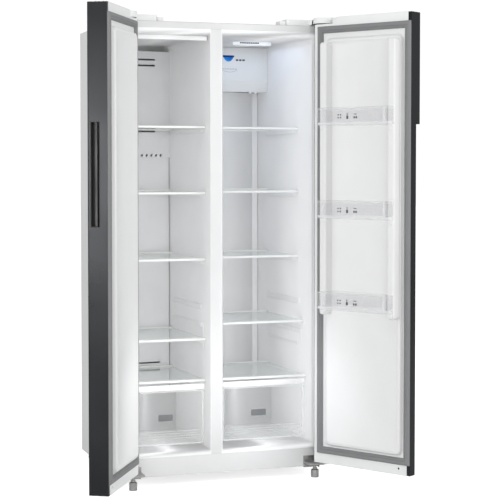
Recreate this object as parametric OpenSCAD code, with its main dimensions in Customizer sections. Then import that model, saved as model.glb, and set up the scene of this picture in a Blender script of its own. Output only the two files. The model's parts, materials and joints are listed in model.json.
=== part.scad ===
// Side by side refrigerator: a freezer on the left and a fridge on the right of one cabinet.
// Every piece is drawn in the cabinet's own space: x across, y from the front frame to the back,
// z up from the floor. Doors are drawn closed and then swung about their hinge pins.

/* [Cabinet] */
// Width of the cabinet
cab_w = 830; // [680:1:1000]
// Depth of the cabinet from the front frame to the back
cab_d = 620; // [515:1:745]
// Height of the underside of the cabinet above the floor
cab_z = 38; // [34:1:46]
// Height of the cabinet body without feet and hinges
cab_h = 1708; // [1420:1:2050]
// Thickness of the outer sheet
sheet = 1.2; // [0.8:0.1:2]
// Width of the sheet's folded edge round the front
flange_w = 14; // [10:1:20]
// Thickness of the vacuum formed liners
liner_t = 2.5; // [1.5:0.1:4]
// Wall between the outside and a cavity at the sides
side_wall = 57; // [40:1:70]
// Wall above the cavities
top_wall = 51; // [40:1:70]
// Width of the pillar between the two cavities
mullion_w = 51; // [40:1:70]
// How far the pillar's middle lies to the left of the cabinet's middle
mullion_off = 28.5; // [0:0.5:60]
// Height of the cavity floors above the underside
floor_wall = 94; // [80:1:110]
// How far each cavity wall leans inwards over the whole depth
draft = 24; // [8:1:30]
// Wall behind the cavities
back_wall = 60; // [45:1:80]
// Height of the trim across the top of the front frame
top_rail_h = 24; // [16:1:32]
// Height of the plinth across the bottom of the front frame
plinth_h = 72; // [50:1:78]

/* [Doors] */
// Thickness of the doors without the gasket
door_t = 72; // [60:1:90]
// Height of the doors' top edge above the cabinet
door_rise = 24; // [16:1:30]
// Height of the doors' lower edge above the floor
door_z = 65; // [62:1:80]
// Gap between the doors' inner face and the cabinet
door_gap = 10; // [8:0.5:14]
// Gap between the two closed doors
split_gap = 7; // [4:0.5:12]
// How far the left door stands open
left_open = 120; // [0:1:135]
// How far the right door stands open
right_open = 122; // [0:1:135]
// Distance of the hinge pins in from the cabinet's side
pin_in = 21; // [18:1:30]
// Distance of the hinge pins in front of the doors' inner face
pin_out = 40; // [34:1:46]
// Radius of the hinge pins
pin_r = 5; // [4:0.5:7]
// Running clearance round the hinge pins
pin_gap = 0.05; // [0.02:0.01:0.1]
// Height of the end caps on the doors' inner side, at the top
cap_top = 34; // [28:1:40]
// Height of the end caps on the doors' inner side, at the bottom
cap_bottom = 39; // [32:1:46]
// Width of the door gaskets
gasket_w = 27; // [20:1:34]
// Clearance left between a closed gasket and the front frame
gasket_gap = 0.4; // [0.3:0.1:1]
// Length of the pocket handle
pocket_h = 362; // [250:1:450]
// Height of the pocket handle's lower end above the floor
pocket_z = 996; // [700:1:1100]
// Depth of the pocket handle
pocket_d = 24; // [16:1:34]
// Width of the finger groove down the right door's free edge
grip_w = 28; // [20:1:36]
// Height of the upper end of the finger groove above the floor
grip_top = 1360; // [1000:1:1500]

/* [Shelves] */
// Thickness of the glass shelves
glass_t = 4; // [3:0.5:6]
// Heights of the freezer shelves above the floor
freezer_shelf_z = [549, 854, 1107, 1358];
// Heights of the fridge shelves above the floor
fridge_shelf_z = [602, 855, 1110, 1358];
// Distances of the fridge shelves behind the front frame
fridge_shelf_y = [75, 125, 125, 128];
// Distance of the freezer shelves behind the front frame
freezer_shelf_y = 46; // [36:1:80]
// Height of the covers over the drawers above the floor
cover_z = 391; // [350:1:450]
// Side clearance of the shelves
shelf_gap = 1.5; // [1:0.5:4]
// Height of the white edge strips on the shelves
trim_h = 8; // [6:1:14]

/* [Drawers] */
// Height of the drawers' lower edge above the floor
drawer_z = 146; // [142:1:170]
// Height of the drawers' top edge above the floor
drawer_top = 377; // [300:1:380]
// Height of the handle band across the drawers
band_h = 23; // [16:1:40]
// Depth of the drawers
drawer_d = 334; // [250:1:340]
// Wall of the drawers and door bins
clear_t = 2.5; // [2:0.5:4]
// Side clearance of the drawers
drawer_gap = 8; // [6:1:12]
// Distance of the freezer drawer behind the front frame
freezer_drawer_y = 38; // [34:1:60]
// Distance of the fridge drawer behind the front frame
fridge_drawer_y = 47; // [40:1:60]

/* [Door bins] */
// Heights of the door bins above the floor
bin_z = [666, 1009, 1357];
// Height of the door bins
bin_h = 68; // [50:1:100]
// How far the raised sides of the right door's liner stand out
dyke_t = 54; // [30:1:60]
// How far the door bins stand out
bin_out = 80; // [65:1:90]

/* [Machine compartment] */
// Depth of the compartment at the back of the base
bay_d = 172; // [150:1:180]
// Height of the compartment's roof above the floor
bay_top = 262; // [240:1:280]
// Radius of the front feet
foot_r = 15; // [12:1:20]
// Height of the front feet
foot_h = 32; // [26:1:34]
// Radius of the rear rollers
roller_r = 19; // [16:1:20]

/* [Hidden] */
$fn = 48;

cab_top = cab_z + cab_h;
half_w = cab_w / 2;
door_top = cab_top + door_rise;
mullion_x = -mullion_off;
left_w = half_w + mullion_x + 1.5 - split_gap / 2;
right_w = cab_w - left_w - split_gap;

// Cavity openings in the front frame
open_z = cab_z + floor_wall;
open_h = cab_top - top_wall - open_z;
open_top = open_z + open_h;
freezer_x = [-half_w + side_wall, mullion_x - mullion_w / 2];
fridge_x = [mullion_x + mullion_w / 2, half_w - side_wall];
cavity_d = cab_d - back_wall;

// The raised floor at the back of both cavities, over the machine compartment
bay_y = cab_d - bay_d;
bay_wall = 44;
hump_y = bay_y - bay_wall;
hump_z = bay_top + bay_wall;

// Pieces inside the freezer's back
duct_y = cavity_d - 94;
duct_split = 1240 / 1746 * cab_top;
duct_top = open_top - 26;
fan_r = 56;
fan_z = duct_split + 225;
fan_shaft_r = 3;

// Hinge pin line in the left door's space
pin_x = -half_w + pin_in;
pin_y = -door_gap - pin_out;

// Door liner sizes
gasket_in = 17;
lip_w = 14;
step_w = 98;
step_h = 25;
dyke_low = 638;
dyke_w = 34;
dyke_s = 61;
plateau = 18;
plateau_gap = 3;
plateau_z = [open_z + plateau_gap, open_top - plateau_gap];

// Feet and rollers
foot_x = half_w - 52;
foot_y = -28;
roller_x = half_w - 30;
roller_y = cab_d - 60;

// Where an open door's corner comes to: s along the door, t outwards from its inner face
function swung_x(s, t, a) = half_w - pin_in + (pin_in - s) * cos(a) - (pin_out - t) * sin(a);
function swung_y(s, t, a) = pin_y + (pin_in - s) * sin(a) + (pin_out - t) * cos(a);
reach_left = max(half_w, swung_x(left_w, door_t, left_open));
reach_right = max(half_w, swung_x(right_w, door_t, right_open));
reach_front = min(-door_gap - door_t, swung_y(right_w - 36, -bin_out, right_open));
origin_x = (reach_right - reach_left) / 2;
origin_y = (cab_d + reach_front) / 2;

// ---- Placing ----

module place() { translate([-origin_x, -origin_y, 0]) children(); }
module right_side() { mirror([1, 0, 0]) children(); }

// Left and right copies of one shape
module both() {
    children();
    right_side() children();
}

module swung(angle) {
    translate([pin_x, pin_y, 0]) rotate(-angle) translate([-pin_x, -pin_y, 0]) children();
}

// Door space: s from the hinge side, t outwards from the inner face
module door_space() { translate([-half_w, -door_gap, 0]) mirror([0, 1, 0]) children(); }
module left_door() { place() swung(left_open) door_space() children(); }
module right_door() { place() right_side() swung(right_open) door_space() children(); }

// ---- Shared shapes ----

module box(x, y, z) { translate([x[0], y[0], z[0]]) cube([x[1] - x[0], y[1] - y[0], z[1] - z[0]]); }

// A rectangle with round corners
module rounded(x, y, r) {
    translate([x[0] + r, y[0]]) square([x[1] - x[0] - 2 * r, y[1] - y[0]]);
    translate([x[0], y[0] + r]) square([x[1] - x[0], y[1] - y[0] - 2 * r]);
    for (cx = [x[0] + r, x[1] - r], cy = [y[0] + r, y[1] - r]) translate([cx, cy]) circle(r);
}

module slab(x, y, z, r) { translate([0, 0, z[0]]) linear_extrude(z[1] - z[0]) rounded(x, y, r); }

// The same rounded shape standing up, with its thickness along y
module panel(x, y, z, r) {
    translate([0, y[1], 0]) rotate([90, 0, 0]) linear_extrude(y[1] - y[0]) rounded(x, z, r);
}

// How far the cavity walls have leant in at a depth
function lean(y) = draft * y / cavity_d;

// Plan of a cavity between two depths; the walls lean in towards the back
module cavity_plan(x, y, gap) {
    polygon([
        [x[0] + lean(y[0]) + gap, y[0]], [x[1] - lean(y[0]) - gap, y[0]],
        [x[1] - lean(y[1]) - gap, y[1]], [x[0] + lean(y[1]) + gap, y[1]]
    ]);
}

module in_cavity(x, y, z, gap) {
    translate([0, 0, z[0]]) linear_extrude(z[1] - z[0]) cavity_plan(x, y, gap);
}

// ---- Cabinet ----

module outer_shell() {
    color("white") place() {
        both() {
            box([-half_w, -half_w + sheet], [0, cab_d], [cab_z, cab_top]);
            box([-half_w, -half_w + flange_w], [0, sheet], [cab_z, cab_top]);
            box([-half_w, -half_w + flange_w], [cab_d - sheet, cab_d], [cab_z, cab_top]);
        }
        box([-half_w, half_w], [0, cab_d], [cab_top - sheet, cab_top]);
    }
}

module back_panel() {
    rib_h = 5;
    face = cab_d - rib_h - sheet - 0.5;
    x = half_w - flange_w - 0.5;
    color("gainsboro") place() {
        box([-x, x], [face, face + sheet], [bay_top + 6, cab_top - sheet - 1]);
        for (n = [-2:2])
            panel([n * x * 0.36 - 20, n * x * 0.36 + 20], [face + sheet, face + sheet + rib_h],
                [bay_top + 90, cab_top - 90], 18);
    }
}

module base_pan() {
    lip = 18;
    arm = 3;
    color("silver") place() {
        x = half_w - sheet - 0.5;
        difference() {
            box([-x, x], [17, cab_d - 8], [cab_z, cab_z + 2]);
            for (side = [-1, 1])
                translate([side * roller_x, roller_y, cab_z]) cube([22, 2 * roller_r + 8, 9], center = true);
        }
        both() {
            box([-x, -x + 2], [17, cab_d - 8], [cab_z, cab_z + lip]);
            for (side = [-1, 1])
                translate([-roller_x + side * 11.5, roller_y, 0])
                    difference() {
                        translate([-arm / 2, -12, roller_r - 9]) cube([arm, 24, cab_z + 2 - roller_r + 9]);
                        translate([0, 0, roller_r]) rotate([0, 90, 0]) cylinder(h = 20, r = 4, center = true);
                    }
            translate([-roller_x, roller_y, roller_r]) rotate([0, 90, 0]) cylinder(h = 26, r = 4, center = true);
        }
    }
}

module cabinet_foam() {
    grow = liner_t + 0.2;
    x = half_w - sheet - 0.3;
    color("khaki") place() difference() {
        box([-x, x], [17, cab_d - 8], [cab_z + 20, cab_top - sheet - 0.3]);
        for (c = [freezer_x, fridge_x])
            difference() {
                translate([0, 0, open_z - grow]) linear_extrude(open_h + 2 * grow)
                    cavity_plan(c, [0, cavity_d + grow], -grow);
                box([c[0] - 40, c[1] + 40], [hump_y + grow, cab_d], [0, hump_z - grow]);
            }
        box([-half_w, half_w], [bay_y, cab_d], [0, bay_top]);
    }
}

// One vacuum formed liner: front flange, leaning walls, roof, floor, hump and shelf rails
module liner(c, shelves, fronts, outer) {
    z = [open_z, open_top];
    ring_z = [cab_z + plinth_h + 0.3, cab_top - top_rail_h - 0.3];
    difference() {
        union() {
            difference() {
                translate([0, 0, z[0] - liner_t]) linear_extrude(open_h + 2 * liner_t)
                    cavity_plan(c, [3.2, cavity_d + liner_t], -liner_t);
                box([c[0] - 40, c[1] + 40], [hump_y + liner_t, cab_d], [0, hump_z - liner_t]);
            }
            box(outer, [0, 3], ring_z);
            box([c[0], c[1]], [0, 6], z);
        }
        difference() {
            translate([0, 0, z[0]]) linear_extrude(open_h) cavity_plan(c, [-1, cavity_d], 0);
            box([c[0] - 40, c[1] + 40], [hump_y, cab_d], [0, hump_z]);
            for (n = [0:len(shelves) - 1])
                for (side = [0, 1])
                    rail(c, side, fronts[n] + 18, shelves[n] - trim_h - 0.3);
        }
    }
}

// A shelf rail moulded in a cavity wall
module rail(c, side, front, z) {
    reach = 9;
    back = duct_y - 14;
    translate([0, 0, z - 7]) linear_extrude(7) polygon(
        side == 0
            ? [[c[0] - 1, front], [c[0] + lean(front) + reach, front], [c[0] + lean(back) + reach, back],
               [c[0] - 1, back]]
            : [[c[1] + 1, front], [c[1] - lean(front) - reach, front], [c[1] - lean(back) - reach, back],
               [c[1] + 1, back]]);
}

module freezer_liner() {
    color("whitesmoke") place()
        liner(freezer_x, concat(freezer_shelf_z, [cover_z]), [for (n = [0:4]) freezer_shelf_y],
            [-half_w + flange_w + 0.3, freezer_x[1]]);
}

module fridge_liner() {
    color("whitesmoke") place() {
        liner(fridge_x, concat(fridge_shelf_z, [cover_z]), concat(fridge_shelf_y, [freezer_shelf_y]),
            [fridge_x[0], half_w - flange_w - 0.3]);
        // Vertical air channel in the back corner
        box([fridge_x[1] - draft - 28, fridge_x[1] - draft - 4], [cavity_d - 8, cavity_d + 1],
            [hump_z + 2, open_top - 184]);
    }
}

module top_rail() {
    x = half_w - flange_w - 0.3;
    color("white") place() difference() {
        box([-x, x], [0, 15], [cab_top - top_rail_h, cab_top - sheet - 0.3]);
        box([-10.4, -9.6], [-1, 0.8], [0, cab_top]);
    }
}

module mullion_cover() {
    color("white") place() {
        box([freezer_x[1] + 0.2, fridge_x[0] - 0.2], [0, 2.4],
            [cab_z + plinth_h + 0.3, cab_top - top_rail_h - 0.3]);
    }
}

module plinth_rail() {
    x = half_w - flange_w - 0.3;
    color("white") place() {
        box([-x, x], [0, 2.5], [cab_z, cab_z + plinth_h]);
        box([-x, x], [0, 15], [cab_z, cab_z + 2.5]);
        box([-x, x], [0, 15], [cab_z + plinth_h - 2.5, cab_z + plinth_h]);
    }
}

// ---- Freezer back ----

freezer_mid = (freezer_x[0] + freezer_x[1]) / 2;

// Front of the covers over the evaporator: flat in the middle, then falling back towards both walls
duct_flat = 30;
duct_bend = 16;
duct_wall = 3;
function duct_front(u) =
    let (side = freezer_x[1] - lean(duct_y) - freezer_mid, far = max(0, abs(u) - duct_flat))
    duct_y + duct_bend * pow(far / (side - duct_flat), 1.4);

module duct_plan(gap, inset) {
    half = freezer_x[1] - lean(duct_y) - freezer_mid - gap - inset;
    back = cavity_d - 0.5;
    polygon(concat(
        [for (n = [-10:10]) let (u = n / 10 * half) [freezer_mid + u, duct_front(u) + inset]],
        [[freezer_mid + half - draft * (back - duct_y) / cavity_d, back + inset],
         [freezer_mid - half + draft * (back - duct_y) / cavity_d, back + inset]]));
}

module duct(z, gap) {
    difference() {
        translate([0, 0, z[0]]) linear_extrude(z[1] - z[0]) duct_plan(gap, 0);
        translate([0, 0, z[0] - 1]) linear_extrude(z[1] - z[0] - duct_wall + 1) duct_plan(gap, duct_wall);
    }
}

module freezer_duct_upper() {
    color("gainsboro") place() {
        difference() {
            duct([duct_split, duct_top], 1);
            for (z = [duct_top - 33, duct_top - 57, duct_split + 124, duct_split + 106])
                panel([freezer_mid - 66, freezer_mid + 66], [duct_y - 1, duct_y + 12], [z - 3.5, z + 3.5], 3);
            for (n = [-4.5:4.5])
                translate([freezer_mid + n * 20, duct_y + 8, duct_split + 9]) rotate([0, 30, 0])
                    cube([7, 24, 10], center = true);
        }
        translate([freezer_mid, duct_y + 2, fan_z]) rotate([-90, 0, 0]) {
            cylinder(h = 8, r = 14);
            cylinder(h = 44, r = fan_shaft_r);
        }
    }
}

module freezer_duct_lower() {
    vents = [405, 389.5, 374];
    color("gainsboro") place() difference() {
        duct([hump_z + 0.5, duct_split - 0.5], 6);
        for (z = vents)
            panel([freezer_mid - 85, freezer_mid + 85], [duct_y - 1, duct_y + 16], [z - 3, z + 3], 2.5);
        // Ring round a blanked hole
        translate([freezer_mid, duct_y + 1.2, duct_split - 119]) rotate([90, 0, 0]) difference() {
            cylinder(h = 6, r = 9);
            translate([0, 0, -1]) cylinder(h = 8, r = 7.2);
        }
    }
}

module evaporator() {
    low = hump_z + 190;
    tall = 280;
    fins = 16;
    color("silver") place() translate([freezer_mid, duct_y + 20, low]) {
        for (n = [0:fins - 1])
            translate([(n - (fins - 1) / 2) * 13, 0, 0]) cube([0.8, 58, tall]);
        for (row = [0:5], y = [16, 42])
            translate([-108, y, 22 + row * 47]) rotate([0, 90, 0]) cylinder(h = 216, r = 4);
        for (row = [0:5])
            translate([row % 2 == 0 ? 108 : -108, 12, 22 + row * 47]) rotate([-90, 0, 0]) cylinder(h = 34, r = 4);
    }
}

module evaporator_fan() {
    blades = 5;
    color("dimgray") place() translate([freezer_mid, duct_y + 14, fan_z]) rotate([-90, 0, 0])
        difference() {
            union() {
                cylinder(h = 22, r = 16);
                for (n = [0:blades - 1])
                    rotate(n * 360 / blades) translate([13, -15, 10]) rotate([28, 0, 0])
                        cube([fan_r - 13, 30, 2]);
            }
            translate([0, 0, -1]) cylinder(h = 30, r = fan_shaft_r + pin_gap);
        }
}

// ---- Fridge top ----

module fridge_duct_box() {
    y = [cavity_d - 110, cavity_d - 0.5];
    z = [open_top - 183, open_top - 2];
    band = 46;
    color("white") place() difference() {
        in_cavity(fridge_x, [y[0] - 3, y[1]], z, 1);
        in_cavity(fridge_x, [y[0] - 10, y[0]], [z[0] + band, z[1] + 1], -9);
        // The lower band leans back towards its foot
        translate([fridge_x[0] - 9, 0, z[0]]) rotate([90, 0, 90]) linear_extrude(fridge_x[1] - fridge_x[0] + 18)
            polygon([[y[0] - 10, -1], [y[0] + 9, -1], [y[0] - 3, band - 4], [y[0] - 10, band - 4]]);
        in_cavity(fridge_x, [y[0] + 12, y[1] + 1], [z[0] + 3, z[1] - 3], 4);
        for (n = [-4:4])
            translate([(fridge_x[0] + fridge_x[1]) / 2 + n * 22, y[0] + 45, z[0]])
                cube([12, 40, 12], center = true);
    }
}

module fridge_lamp() {
    mid = (fridge_x[0] + fridge_x[1]) / 2 + 10;
    color("azure") place() slab([mid - 82, mid + 82], [190, 235], [open_top - 12, open_top - 0.2], 12);
}

// ---- Shelves ----

module shelf(c, front, z) {
    in_cavity(c, [front + 14, duct_y - 14], [z - glass_t - 1, z - 1], shelf_gap);
}

module shelf_trims(c, fronts, heights) {
    for (n = [0:len(heights) - 1]) {
        difference() {
            union() {
                in_cavity(c, [fronts[n], fronts[n] + 20], [heights[n] - trim_h, heights[n]], shelf_gap);
                in_cavity(c, [duct_y - 22, duct_y - 8], [heights[n] - trim_h, heights[n] + 3], shelf_gap);
            }
            in_cavity(c, [fronts[n] + 14, duct_y - 14], [heights[n] - glass_t - 1, heights[n] - 1], shelf_gap - 1);
        }
    }
}

module freezer_shelf(n) { color("lightcyan", 0.5) place() shelf(freezer_x, freezer_shelf_y, freezer_shelf_z[n]); }
module freezer_shelf_1() { freezer_shelf(0); }
module freezer_shelf_2() { freezer_shelf(1); }
module freezer_shelf_3() { freezer_shelf(2); }
module freezer_shelf_4() { freezer_shelf(3); }
module freezer_drawer_cover() { color("lightcyan", 0.5) place() shelf(freezer_x, freezer_shelf_y, cover_z); }

module freezer_shelf_trims() {
    color("white") place()
        shelf_trims(freezer_x, [for (n = [0:4]) freezer_shelf_y], concat(freezer_shelf_z, [cover_z]));
}

module fridge_shelf(n) { color("lightcyan", 0.5) place() shelf(fridge_x, fridge_shelf_y[n], fridge_shelf_z[n]); }
module fridge_shelf_1() { fridge_shelf(0); }
module fridge_shelf_2() { fridge_shelf(1); }
module fridge_shelf_3() { fridge_shelf(2); }
module fridge_shelf_4() { fridge_shelf(3); }
module fridge_drawer_cover() { color("lightcyan", 0.5) place() shelf(fridge_x, freezer_shelf_y, cover_z); }

module fridge_shelf_trims() {
    color("white") place()
        shelf_trims(fridge_x, concat(fridge_shelf_y, [freezer_shelf_y]), concat(fridge_shelf_z, [cover_z]));
}

// ---- Drawers ----

module drawer(c, front) {
    y = [front, front + drawer_d];
    band = [drawer_top - band_h, drawer_top];
    difference() {
        union() {
            in_cavity(c, y, [drawer_z, band[0]], drawer_gap + 4);
            in_cavity(c, [y[0], y[1]], [band[0] - 12, band[0]], drawer_gap + 1);
            in_cavity(c, [y[0] - 2, y[0] + 12], band, drawer_gap);
        }
        in_cavity(c, [y[0] + clear_t + 1, y[1] - clear_t], [drawer_z + clear_t, drawer_top + 1],
            drawer_gap + 4 + clear_t);
        // Finger grip behind the band
        in_cavity(c, [y[0] + 2, y[0] + 14], [band[0] - 1, band[1] - 4], drawer_gap + 20);
    }
}

module freezer_drawer() { color("aliceblue", 0.6) place() drawer(freezer_x, freezer_drawer_y); }
module fridge_drawer() { color("aliceblue", 0.6) place() drawer(fridge_x, fridge_drawer_y); }

// ---- Hinges, feet and rollers ----

// The plate ends over the door's lowered corner and carries the pin
module top_hinge() {
    plate = 3;
    pin_down = 20;
    color("silver") {
        difference() {
            union() {
                slab([-half_w + 8, -half_w + 96], [12, 84], [cab_top, cab_top + plate], 10);
                slab([-half_w + 8, -half_w + 38], [pin_y - 12, 40], [cab_top, cab_top + plate], 10);
                translate([pin_x, pin_y, cab_top - pin_down]) cylinder(h = pin_down + plate, r = pin_r);
            }
            for (s = [0, 1])
                translate([-half_w + 26 + s * 50, 62, cab_top - 1]) cylinder(h = plate + 2, r = 3.2);
        }
    }
}

module top_hinge_left() { place() top_hinge(); }
module top_hinge_right() { place() right_side() top_hinge(); }

// Plastic cover over the hinge plate: a low box with a round head over the pin
module hinge_cover() {
    low = cab_top + 3.3;
    high = door_top + 2;
    wall = 2.5;
    head_r = 43;
    color("white") {
        difference() {
            union() {
                slab([-half_w + 4, -half_w + 158], [4, 92], [cab_top + 0.2, high - 3], 10);
                slab([-half_w + 4, -half_w + 64], [-16, 20], [low, high - 3], 6);
                translate([pin_x + 2, pin_y + 3, low]) cylinder(h = high - low, r = head_r);
            }
            union() {
                    slab([-half_w + 4 + wall, -half_w + 158 - wall], [4 + wall, 92 - wall],
                        [cab_top, high - 3 - wall], 8);
                    slab([-half_w + 4 + wall, -half_w + 64 - wall], [-30, 20 + wall],
                        [low - 1, high - 3 - wall], 4);
                    translate([pin_x + 2, pin_y + 3, low - 1]) cylinder(h = high - low - wall + 1, r = head_r - wall);
            }
            // The hinge plate passes under the front wall
            box([-half_w + 6, -half_w + 40], [0, 30], [cab_top, low]);
        }
        // Cable outlet
        slab([-half_w + 159, -half_w + 184], [10, 60], [cab_top + 0.2, cab_top + 16], 4);
    }
}

module hinge_cover_left() { place() hinge_cover(); }
module hinge_cover_right() { place() right_side() hinge_cover(); }

// An angle bracket: plate on the plinth, arm under the door, pin up into it
module bottom_hinge() {
    arm = [door_z - 11, door_z - 5];
    x = [-half_w + 38, -half_w + 90];
    color("darkgray") difference() {
        union() {
            box(x, [-4, -0.1], [cab_z - 3, cab_z + 42]);
            slab([-half_w + 3, -half_w + 90], [pin_y - 16, -2], arm, 8);
            translate([pin_x, pin_y, arm[0]]) cylinder(h = 34, r = pin_r);
            translate([pin_x, pin_y, arm[1]]) cylinder(h = 3, r = pin_r + 4);
            box([x[0], x[0] + 3], [pin_y + 8, -2], [cab_z + 2, arm[1]]);
        }
        translate([-foot_x, foot_y, arm[0] - 1]) cylinder(h = 8, r = 6.05);
        for (z = [cab_z + 7, cab_z + 34])
            translate([x[1] - 12, 1, z]) rotate([90, 0, 0]) cylinder(h = 6, r = 3.2);
    }
}

module bottom_hinge_left() { place() bottom_hinge(); }
module bottom_hinge_right() { place() right_side() bottom_hinge(); }

// Screws of the four hinges
module hinge_screws() {
    color("gray") place() both() {
        for (s = [0, 1])
            translate([-half_w + 26 + s * 50, 62, cab_top + 3.02]) screw();
        for (z = [cab_z + 7, cab_z + 34])
            translate([-half_w + 78, -4.02, z]) rotate([90, 0, 0]) screw();
    }
}

module screw() {
    difference() {
        union() {
            cylinder(h = 3.4, r = 5.4);
            translate([0, 0, -2.6]) cylinder(h = 3, r = 2.9);
        }
        translate([0, 0, 1.4]) cylinder(h = 4, r = 2.6, $fn = 6);
    }
}

// Front foot: a broad pad on a stud that turns in the hinge bracket
module foot() {
    stud_top = door_z - 3.2;
    color("silver") translate([-foot_x, foot_y, 0]) {
        cylinder(h = foot_h - 3, r = foot_r);
        translate([0, 0, foot_h - 3]) cylinder(h = 3, r1 = foot_r, r2 = foot_r - 4);
        translate([0, 0, foot_h]) cylinder(h = 6, r = 9, $fn = 6);
        cylinder(h = stud_top, r = 6);
    }
}

module foot_left() { place() foot(); }
module foot_right() { place() right_side() foot(); }

module roller() {
    color("dimgray") translate([-roller_x, roller_y, roller_r]) rotate([0, 90, 0]) difference() {
        union() {
            cylinder(h = 15, r = roller_r, center = true);
            cylinder(h = 19, r = 8, center = true);
        }
        cylinder(h = 30, r = 4 + pin_gap, center = true);
    }
}

module rear_roller_left() { place() roller(); }
module rear_roller_right() { place() right_side() roller(); }

// ---- Machine compartment ----

bay_mid = bay_y + bay_d / 2;
compressor_x = 210;

module compressor() {
    r = 62;
    base = cab_z + 12;
    color("black") place() translate([compressor_x, bay_mid - 8, base]) {
        translate([0, 0, 14]) cylinder(h = 118, r = r);
        translate([0, 0, 132]) intersection() {
            translate([0, 0, -r * 0.9]) sphere(r * 1.35);
            cylinder(h = 40, r = r);
        }
        slab([-82, 82], [-52, 52], [3, 14], 14);
        for (x = [-70, 70], y = [-40, 40]) translate([x, y, -10]) cylinder(h = 13, r = 9);
        translate([r - 8, -24, 40]) cube([26, 48, 60]);
    }
}

module condenser() {
    rows = 6;
    runs = 4;
    long = 300;
    color("dimgray") place() translate([-250, bay_mid - 50, cab_z + 14]) {
        for (row = [0:rows - 1], run = [0:runs - 1])
            translate([-long / 2 + 12, 14 + run * 22, 16 + row * 24]) rotate([0, 90, 0])
                cylinder(h = long - 24, r = 3);
        for (n = [0:14])
            translate([-long / 2 + 14 + n * (long - 30) / 14, 0, 0]) cube([1.2, 92, 152]);
        for (x = [-long / 2 + 6, long / 2 - 16]) translate([x, 0, -12]) cube([6, 92, 164]);
    }
}

module drip_tray() {
    low = cab_z + 186;
    color("gainsboro") place() difference() {
        slab([compressor_x - 90, compressor_x + 90], [bay_mid - 66, bay_mid + 54], [low, low + 30], 14);
        slab([compressor_x - 87.5, compressor_x + 87.5], [bay_mid - 63.5, bay_mid + 51.5],
            [low + 2.5, low + 40], 12);
    }
}

module control_board() {
    color("seagreen") place() translate([-30, bay_mid - 62, cab_z + 2.2]) {
        cube([3, 110, 150]);
        translate([3, 12, 20]) cube([22, 36, 30]);
        translate([3, 60, 24]) cube([16, 30, 44]);
        translate([3, 20, 80]) cube([9, 70, 12]);
        for (n = [0:3]) translate([3, 22 + n * 20, 118]) rotate([0, 90, 0]) cylinder(h = 18, r = 7);
    }
}

// Cover of the machine compartment, with louvres and the mains inlet
module rear_grille() {
    y = [cab_d - 7.4, cab_d - 5.4];
    x = half_w - flange_w - 3;
    z = [cab_z + 4, bay_top + 2];
    inlet = [-half_w + 70, cab_z + 60];
    color("gray") place() {
        difference() {
            union() {
                panel([-x, x], y, z, 6);
                panel([inlet[0] - 22, inlet[0] + 22], [y[0] - 24, y[1] + 2], [inlet[1] - 16, inlet[1] + 16], 4);
            }
            for (n = [-11:11], row = [0, 1])
                if (n * 26 + 60 < half_w - 40)
                    panel([n * 26 + 50, n * 26 + 60], [y[0] - 1, y[1] + 1],
                        [z[0] + 24 + row * 92, z[0] + 96 + row * 92], 4.5);
            panel([inlet[0] - 12, inlet[0] + 12], [y[1] - 16, y[1] + 3], [inlet[1] - 8, inlet[1] + 8], 3);
        }
        for (n = [-1:1])
            translate([inlet[0] + n * 6.5 - 1, y[1] - 17, inlet[1] - 2.5]) cube([2, 13, 5]);
    }
}

// ---- Doors ----

// Plan of a door at a distance in from its outside: the free corner is cut by a finger groove,
// or rounded with corner_r
module door_plan(w, inset, corner_r, groove) {
    hinge_r = 8;
    s = [inset, w - inset];
    t = [0, door_t - inset];
    difference() {
        union() {
            translate([s[0], t[0]]) square([s[1] - s[0], t[1] - max(hinge_r, corner_r)]);
            translate([s[0] + hinge_r, t[0]]) square([s[1] - s[0] - hinge_r - corner_r, t[1]]);
            translate([s[0], t[0]]) square([hinge_r, t[1] - hinge_r]);
            translate([s[0] + hinge_r, t[1] - hinge_r]) circle(hinge_r);
            translate([s[1] - corner_r, t[1] - corner_r]) circle(corner_r);
            translate([s[1] - corner_r, t[0]]) square([corner_r, t[1] - corner_r]);
        }
        if (groove) translate([w - grip_w - inset, 33 - inset]) square([grip_w + 10, door_t]);
    }
}

// Sheet skin folded round the front and the edges, with a short lip inside the free edge
module door_skin(w, corner_r, z, groove) {
    translate([0, 0, z[0]]) linear_extrude(z[1] - z[0]) difference() {
        door_plan(w, 0, corner_r, groove);
        intersection() {
            door_plan(w, sheet, corner_r - sheet, groove);
            translate([0, sheet]) square([w, door_t]);
        }
        translate([sheet, -1]) square([w - sheet - lip_w, sheet + 2]);
    }
}

skin_z = [door_z + 2, door_top - 2];
core_t0 = 3;

module left_pocket(grow) {
    translate([0, 0, pocket_z - grow]) linear_extrude(pocket_h + 2 * grow)
        polygon([[left_w + 1, 28 - grow], [left_w - 6, 28 - grow], [left_w - pocket_d - grow, 41 - grow],
            [left_w - pocket_d - grow, 60 + grow], [left_w + 1, 60 + grow]]);
}

module left_door_skin() {
    color("dimgray") left_door() difference() {
        door_skin(left_w, 5, skin_z, false);
        left_pocket(0.3);
        hinge_step(left_w, 0);
    }
}

module left_door_handle() {
    wall = 2;
    color("black") left_door() difference() {
        intersection() {
            left_pocket(0);
            box([0, left_w - 0.1], [0, door_t], [0, door_top]);
        }
        translate([0, 0, pocket_z + wall]) linear_extrude(pocket_h - 2 * wall)
            polygon([[left_w + 1, 28 + wall], [left_w - 5, 28 + wall], [left_w - pocket_d + wall, 42.5],
                [left_w - pocket_d + wall, 60 - wall], [left_w + 1, 60 - wall]]);
    }
}

// Room over the door for the top hinge, at the corner above the pin
module hinge_step(w, grow) {
    box([-1, step_w + grow], [-20, door_t + 1], [door_top - step_h - grow, door_top + 1]);
}

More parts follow.
